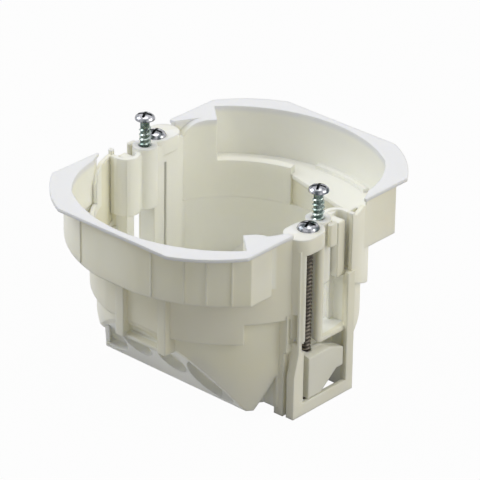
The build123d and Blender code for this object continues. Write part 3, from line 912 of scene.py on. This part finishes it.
@dataclass
class PocketShelf:
    """The straight-fronted shelf between the well and each pocket, in millimetres.

    Its top is level with the pocket's floor, and the well's wall beside it ends there too.
    """

    top: float = 38.0
    thickness: float = 1.2
    reach: float = 35.9
    wall_reach: float = 36.02
    front: float = 29.97
    front_angle: float = math.radians(-13.6)
    near_side: float = -17.5
    wall_near_side: float = -22.0
    wall_far_angle: float = math.radians(13)
    wall_inside: float = 24.0
    headroom: float = 3.0
    sides: int = 192

    def disc(self, name: str, radius: float, low: float, high: float) -> Piece:
        """Add a disc about the Z axis.

        Args:
            name: object name.
            radius: its radius.
            low: height of its underside.
            high: height of its top.

        Returns:
            The disc.
        """
        deselect()
        bpy.ops.mesh.primitive_cylinder_add(
            vertices=self.sides, radius=radius * MM, depth=(high - low) * MM,
            location=(0, 0, (low + high) / 2 * MM))
        disc = settle(bpy.context.object)
        disc.name = name
        return disc

    def keep(self, piece: Piece, point: Vector, ahead: Vector) -> None:
        """Cut a piece at an upright plane and keep the part ahead of it.

        Args:
            piece: object to cut.
            point: point on the plane.
            ahead: direction of the part that stays.
        """
        activate(piece)
        bpy.ops.object.mode_set(mode="EDIT")
        bpy.ops.mesh.select_all(action="SELECT")
        bpy.ops.mesh.bisect(plane_co=point * MM, plane_no=ahead, use_fill=True, clear_inner=True)
        bpy.ops.object.mode_set(mode="OBJECT")

    def plate(self) -> Piece:
        """Make the shelf of the right end."""
        plate = self.disc("shelf_plate", self.reach, self.top - self.thickness, self.top)
        ahead = Vector((math.cos(self.front_angle), math.sin(self.front_angle), 0))
        self.keep(plate, self.front * ahead, ahead)
        self.keep(plate, Vector((0, self.near_side, 0)), Vector((0, 1, 0)))
        return plate

    def wall_space(self) -> Piece:
        """Make the space over the right end of the well's wall."""
        space = self.disc("wall_space", self.wall_reach, self.top, self.top + self.headroom)
        self.keep(space, Vector((self.wall_inside, 0, 0)), Vector((1, 0, 0)))
        self.keep(space, Vector((0, self.wall_near_side, 0)), Vector((0, 1, 0)))
        away = Vector((math.sin(self.wall_far_angle), -math.cos(self.wall_far_angle), 0))
        self.keep(space, Vector((0, 0, 0)), away)
        return space

    def fit(self, body: Piece, finish: Material) -> None:
        """Fit the shelf to both ends of a body.

        Args:
            body: body to change.
            finish: its material.
        """
        for station in Station:
            for tool, operation in (
                (self.wall_space(), Operation.CUT),
                (self.plate(), Operation.ADD),
            ):
                tool.data.materials.append(finish)
                tool.data.transform(Matrix.Rotation(station.turn, 4, "Z"))
                shape_with(body, tool, operation)


@dataclass
class Mouldings:
    """The plastic pieces: the box, which gets its two shelves, and the two claws."""

    body: str = "box"
    body_node: str = "box_body"
    claw_node: str = "claw"

    def dress(self, body: Material, claw: Material) -> None:
        """Give each plastic piece its finish.

        Args:
            body: finish of the box.
            claw: finish of the claws.
        """
        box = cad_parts[self.body_node]
        self.paint(box, body)
        shell = box.copy()
        shell.data = box.data.copy()
        shell.name = "box_body_dressed"
        bpy.context.scene.collection.objects.link(shell)
        outward(shell)
        bpy.ops.mesh.customdata_custom_splitnormals_clear()
        bpy.ops.object.shade_flat()
        PocketShelf().fit(shell, body)
        weld_slivers(shell)
        activate(shell)
        bpy.ops.object.shade_smooth_by_angle(angle=BODY_CREASE)
        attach(shell, self.body)
        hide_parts(self.body_node)
        LOG.info("%s: %d faces", shell.name, len(shell.data.polygons))
        for station in Station:
            self.paint(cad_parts[f"{station.prefix}_{self.claw_node}"], claw)

    def paint(self, piece: Piece, finish: Material) -> None:
        """Put one finish on a piece.

        Args:
            piece: object to paint.
            finish: its material.
        """
        for index in range(len(piece.material_slots)):
            piece.material_slots[index].material = finish
        LOG.info("%s: %d faces", piece.name, len(piece.data.polygons))


@dataclass(frozen=True)
class Lamp:
    """One square soft lamp, in metres and watts."""

    name: str
    place: Triple
    size: float
    power: float
    colour: Triple

    def build(self, target: Vector) -> None:
        """Hang the lamp.

        Args:
            target: point it looks at.
        """
        data = bpy.data.lights.new(self.name, "AREA")
        data.color = self.colour
        data.size = self.size
        data.energy = self.power
        lamp = bpy.data.objects.new(self.name, data)
        bpy.context.scene.collection.objects.link(lamp)
        lamp.location = self.place
        aim = target - Vector(self.place)
        lamp.rotation_euler = aim.to_track_quat("-Z", "Y").to_euler()


@dataclass
class Studio:
    """Floor, soft lamps, world and camera, in metres and degrees."""

    lamps: tuple[Lamp, ...] = (
        Lamp("left_box", (-0.42, 0.78, 0.7), 0.6, 5.2, (0.94, 0.97, 1.0)),
        Lamp("right_box", (0.42, -0.8, 0.5), 0.6, 4.4, (1.0, 0.98, 0.9)),
        Lamp("top_box", (0.05, 0.05, 1.1), 0.7, 3.6, (1.0, 0.99, 0.95)),
    )
    floor_half: float = 1.6
    floor_tone: float = 0.4
    white_share: float = 0.97
    white: float = 1.0
    world_strength: float = 0.3
    target: Triple = (0.003955, -0.000248, 0.032)
    azimuth: float = -48.058
    elevation: float = 27.565
    roll: float = 0.815
    distance: float = 0.905764
    lens: float = 262.355
    sensor: float = 36.0
    nearest: float = 0.05

    def seen(self, tree: Tree) -> Socket:
        """Mask of the rays that show the background: straight, mirrored or through glass.

        Args:
            tree: node tree to add to.

        Returns:
            Output socket with 1 for those rays.
        """
        path = tree.nodes.new("ShaderNodeLightPath")
        camera, glossy = path.outputs["Is Camera Ray"], path.outputs["Is Glossy Ray"]
        either = math_node(tree, "MAXIMUM", camera, glossy)
        return math_node(tree, "MAXIMUM", either, path.outputs["Is Transmission Ray"])

    def floor(self) -> None:
        """Add the plain pale floor that keeps the shadow."""
        deselect()
        bpy.ops.mesh.primitive_plane_add(size=2 * self.floor_half, location=(0, 0, 0))
        plane = settle(bpy.context.object)
        plane.name = "floor"
        material = bpy.data.materials.new("floor_white")
        material.use_nodes = True
        tree = material.node_tree
        tree.nodes.clear()
        diffuse = tree.nodes.new("ShaderNodeBsdfDiffuse")
        tone = self.floor_tone
        diffuse.inputs["Color"].default_value = (tone, tone, tone, 1)
        glow = tree.nodes.new("ShaderNodeEmission")
        glow.inputs["Strength"].default_value = self.white
        mix = tree.nodes.new("ShaderNodeMixShader")
        share = math_node(tree, "MULTIPLY", self.seen(tree), self.white_share)
        tree.links.new(share, mix.inputs["Fac"])
        tree.links.new(diffuse.outputs[0], mix.inputs[1])
        tree.links.new(glow.outputs[0], mix.inputs[2])
        output = tree.nodes.new("ShaderNodeOutputMaterial")
        tree.links.new(mix.outputs[0], output.inputs["Surface"])
        plane.data.materials.append(material)

    def world(self) -> None:
        """Give the world a white background and a plain soft light."""
        world = bpy.data.worlds.new("studio")
        bpy.context.scene.world = world
        world.use_nodes = True
        tree = world.node_tree
        tree.nodes.clear()
        background = tree.nodes.new("ShaderNodeBackground")
        background.inputs["Color"].default_value = (1, 1, 1, 1)
        strength = tree.nodes.new("ShaderNodeMapRange")
        strength.inputs["To Min"].default_value = self.world_strength
        strength.inputs["To Max"].default_value = self.white
        tree.links.new(self.seen(tree), strength.inputs["Value"])
        tree.links.new(strength.outputs["Result"], background.inputs["Strength"])
        output = tree.nodes.new("ShaderNodeOutputWorld")
        tree.links.new(background.outputs[0], output.inputs["Surface"])

    def camera(self) -> None:
        """Set the camera at the photograph's angle."""
        yaw, pitch, roll = (math.radians(v) for v in (self.azimuth, self.elevation, self.roll))
        level = math.cos(pitch)
        ahead = Vector((-math.sin(yaw) * level, math.cos(yaw) * level, -math.sin(pitch)))
        level_right = Vector((math.cos(yaw), math.sin(yaw), 0))
        level_up = level_right.cross(ahead)
        right = math.cos(roll) * level_right + math.sin(roll) * level_up
        up = math.cos(roll) * level_up - math.sin(roll) * level_right
        data = bpy.data.cameras.new("camera")
        data.lens = self.lens
        data.sensor_width = self.sensor
        data.clip_start = self.nearest
        camera = bpy.data.objects.new("camera", data)
        bpy.context.scene.collection.objects.link(camera)
        turn = Matrix((right, up, -ahead)).transposed().to_4x4()
        camera.matrix_world = Matrix.Translation(Vector(self.target) - self.distance * ahead) @ turn
        bpy.context.scene.camera = camera

    def build(self) -> None:
        """Set the whole stage."""
        self.floor()
        for lamp in self.lamps:
            lamp.build(Vector(self.target))
        self.world()
        self.camera()
        bpy.context.scene.view_settings.view_transform = "Standard"


def screw_plates(fine: float = 900.0) -> dict[Finish, ZincPlate]:
    """Zinc finishes of the screws, with the real ones' green and yellow cast; the darker root,
    recess and clamp finishes carry painted shade.

    Args:
        fine: noise scale of the small parts' patches.

    Returns:
        The finish of each part.
    """
    return {
        # Uneven plating and painted reflection on the heads.
        Finish.HEAD: ZincPlate("zinc_head_painted_reflection"),
        Finish.RIDGE: ZincPlate("zinc_ridge", (0.5, 0.56, 0.53), (0.16, 0.22, 0.2), 0.2, fine),
        # Painted shade of the clamp's channel.
        Finish.DARK_RIDGE: ZincPlate(
            "zinc_dark_ridge_painted_shade", (0.27, 0.24, 0.2), (0.13, 0.115, 0.1), 0.36, fine),
        # Painted shade in the thread's grooves.
        Finish.ROOT: ZincPlate("zinc_root_painted_shade", (0.2, 0.25, 0.235), (0.08, 0.12, 0.11), 0.3, fine),
        # Painted shade in the thread's grooves and in the clamp's channel.
        Finish.DARK_ROOT: ZincPlate(
            "zinc_dark_root_painted_shade", (0.1, 0.09, 0.075), (0.05, 0.045, 0.04), 0.4, fine),
        # Painted shade in the driver recess.
        Finish.RECESS: ZincPlate(
            "zinc_recess_painted_shade", (0.12, 0.13, 0.13), (0.04, 0.045, 0.045), 0.35, fine),
    }


def main() -> None:
    """Build the dressed box."""
    logging.basicConfig(level=logging.INFO, format="%(name)s %(message)s")
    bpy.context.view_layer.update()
    groups = {
        Effect.CLOUD: cloud_group(),
        Effect.GRAIN: grain_group(),
        Effect.UPPER: height_group(),
        Effect.WELL: well_group(),
    }
    Studio().build()
    body = Moulding("ivory_moulding")
    claw = Moulding("claw_moulding", colour=(0.8, 0.79, 0.7), shade=(0.77, 0.76, 0.66))
    Mouldings().dress(body.build(groups), claw.build(groups))
    Hardware().build({finish: plate.build(groups) for finish, plate in screw_plates().items()})


if __name__ == "__main__":
    main()
